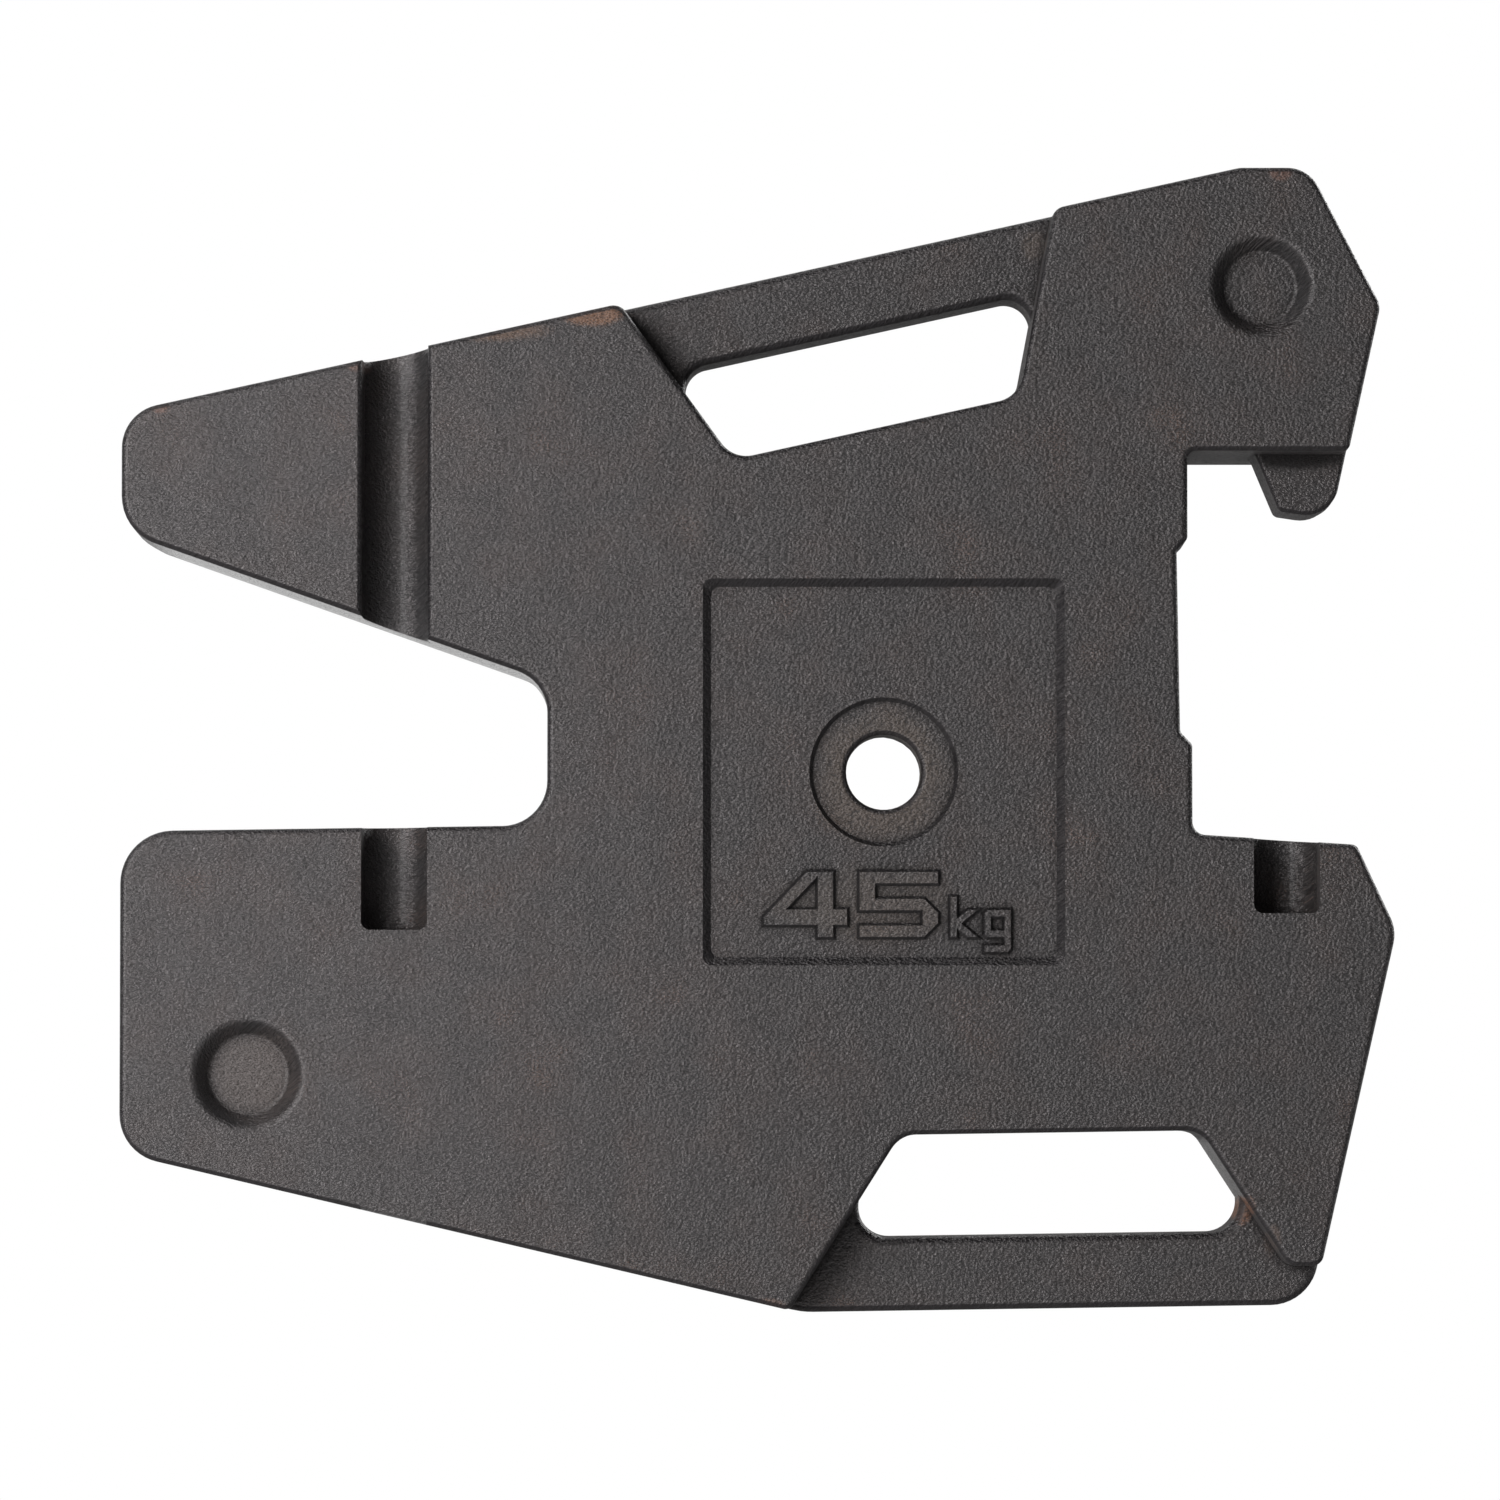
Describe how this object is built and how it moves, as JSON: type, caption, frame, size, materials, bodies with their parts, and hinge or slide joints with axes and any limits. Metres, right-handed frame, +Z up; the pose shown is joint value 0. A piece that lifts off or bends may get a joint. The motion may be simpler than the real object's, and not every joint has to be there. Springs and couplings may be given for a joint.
{
  "type": "cast iron counterweight",
  "caption": "Flat cast iron counterweight that hangs from a rail by a hook, with a slotted back end, hand openings with thin grips and a centre bore.",
  "frame": {"origin": "middle of the hook seat, the downward face that rests on the rail", "axes": "+X from the slotted end to the hooked end, +Y through the thickness away from the numbered face, +Z up"},
  "size_m": [0.4215, 0.0616, 0.3796],
  "materials": {
    "iron": "as cast, satin charcoal paint"
  },
  "bodies": {
    "root": {"casting": "iron"}
  },
  "joints": []
}
